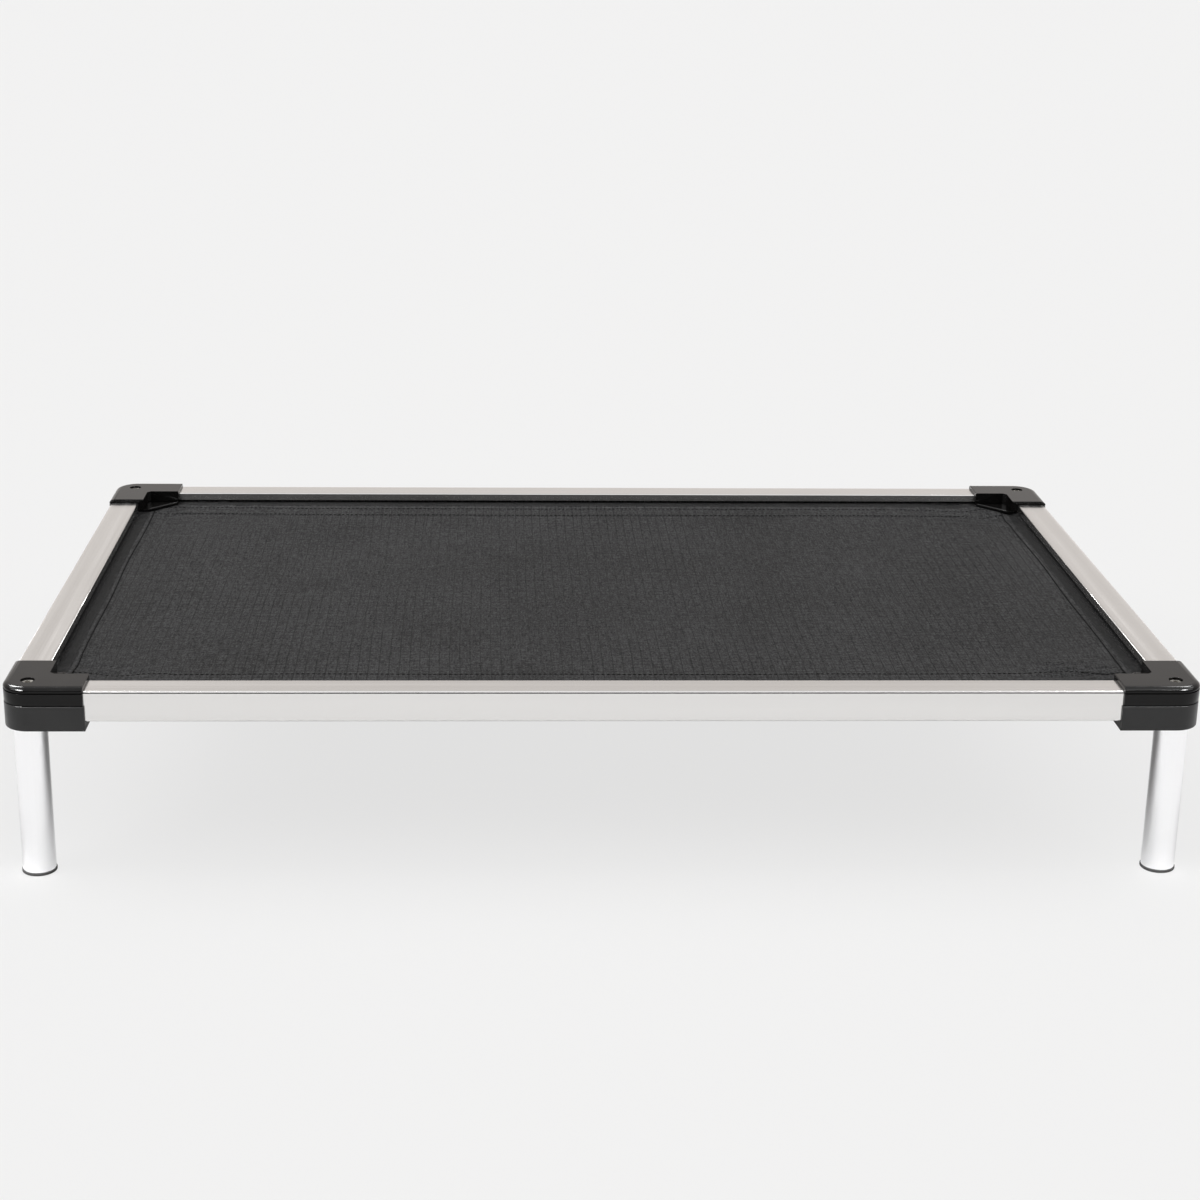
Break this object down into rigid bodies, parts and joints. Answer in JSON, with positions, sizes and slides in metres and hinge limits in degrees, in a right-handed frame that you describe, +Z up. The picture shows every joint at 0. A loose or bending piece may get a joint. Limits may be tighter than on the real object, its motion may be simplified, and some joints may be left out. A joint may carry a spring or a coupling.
{
  "type": "raised dog bed",
  "caption": "Raised dog bed with a black ripstop sheet stretched in an aluminium rail frame, black plastic corners and round aluminium legs.",
  "frame": {"origin": "on the floor, under the middle of the bed", "axes": "+X along the long side, +Z up, the front faces -Y"},
  "size_m": [1.092, 0.7, 0.1875],
  "materials": {
    "rail_aluminium": "satin, drawn lines along the rail",
    "leg_aluminium": "bright, fine drawn lines",
    "cap_plastic": "semi-gloss moulded nylon",
    "base_plastic": "satin moulded nylon",
    "foot_rubber": "matte",
    "insert_metal": "machined",
    "bolt_steel": "bright zinc",
    "rod_plastic": "extruded",
    "sheet_fabric": "coated ripstop weave"
  },
  "bodies": {
    "root": {"corner_top_front_left": "cap_plastic", "corner_top_front_right": "cap_plastic", "corner_top_back_left": "cap_plastic", "corner_top_back_right": "cap_plastic", "corner_base_front_left": "base_plastic", "corner_base_front_right": "base_plastic", "corner_base_back_left": "base_plastic", "corner_base_back_right": "base_plastic", "leg_tube_front_left": "leg_aluminium", "leg_tube_front_right": "leg_aluminium", "leg_tube_back_left": "leg_aluminium", "leg_tube_back_right": "leg_aluminium", "leg_foot_front_left": "foot_rubber", "leg_foot_front_right": "foot_rubber", "leg_foot_back_left": "foot_rubber", "leg_foot_back_right": "foot_rubber", "leg_insert_front_left": "insert_metal", "leg_insert_front_right": "insert_metal", "leg_insert_back_left": "insert_metal", "leg_insert_back_right": "insert_metal", "rail_front": "rail_aluminium", "rail_right": "rail_aluminium", "rail_back": "rail_aluminium", "rail_left": "rail_aluminium", "hem_rod_front": "rod_plastic", "hem_rod_right": "rod_plastic", "hem_rod_back": "rod_plastic", "hem_rod_left": "rod_plastic", "hem_sleeve_front": "sheet_fabric", "hem_sleeve_right": "sheet_fabric", "hem_sleeve_back": "sheet_fabric", "hem_sleeve_left": "sheet_fabric", "sleeping_sheet": "sheet_fabric", "leg_bolts": "bolt_steel", "bolt_washers": "bolt_steel"}
  },
  "joints": []
}
